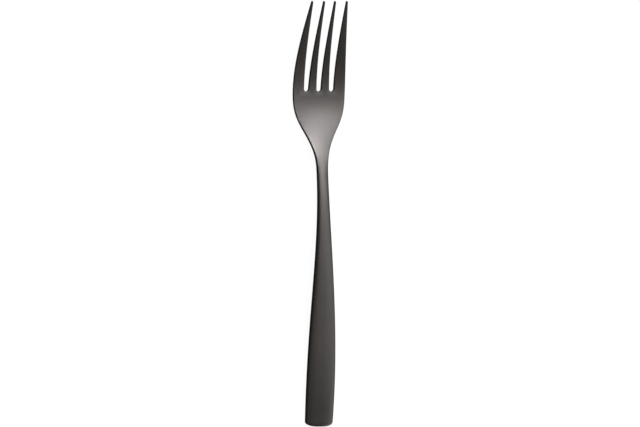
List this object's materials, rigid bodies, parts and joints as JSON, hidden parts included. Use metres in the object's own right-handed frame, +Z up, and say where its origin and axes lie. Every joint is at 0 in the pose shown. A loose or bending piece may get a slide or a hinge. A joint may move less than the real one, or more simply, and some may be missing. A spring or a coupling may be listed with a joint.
{
  "type": "cake fork",
  "caption": "One-piece cake fork in black-coated steel: a flat arched handle widest near its end, a narrow neck and a dished head with slim tines that curve upward.",
  "frame": {"origin": "On the table, under the middle of the fork's box, as the fork lies face up on its belly and butt.", "axes": "+X across the fork, +Y along it from the butt to the tips of the tines, +Z up from the table, the way the hollow of the head faces."},
  "size_m": [0.0194, 0.1502, 0.0129],
  "materials": {
    "black_coating": "satin black coating on stainless steel"
  },
  "bodies": {
    "root": {"fork": "black_coating"}
  },
  "joints": []
}
